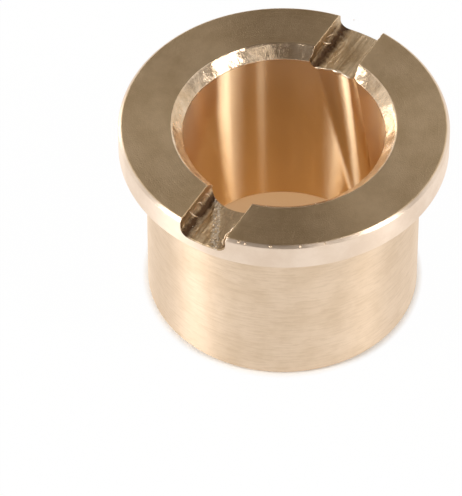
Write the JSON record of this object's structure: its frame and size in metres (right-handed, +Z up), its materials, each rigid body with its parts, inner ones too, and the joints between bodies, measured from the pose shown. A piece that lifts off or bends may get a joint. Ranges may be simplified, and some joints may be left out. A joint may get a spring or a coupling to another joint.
{
  "type": "flanged bearing bush",
  "caption": "Turned bronze flanged bush with a plain bore, a slot milled across its thrust face and helical oil grooves down the bore.",
  "frame": {"origin": "on the bore's axis, in the plane of the plain lower end", "axes": "+Z up the bore axis from the plain end to the flange's thrust face; Y along the milled slot"},
  "size_m": [0.036, 0.036, 0.024],
  "materials": {
    "bronze": "turned, satin, with fine tool marks"
  },
  "bodies": {
    "root": {"taper_bush": "bronze"}
  },
  "joints": []
}
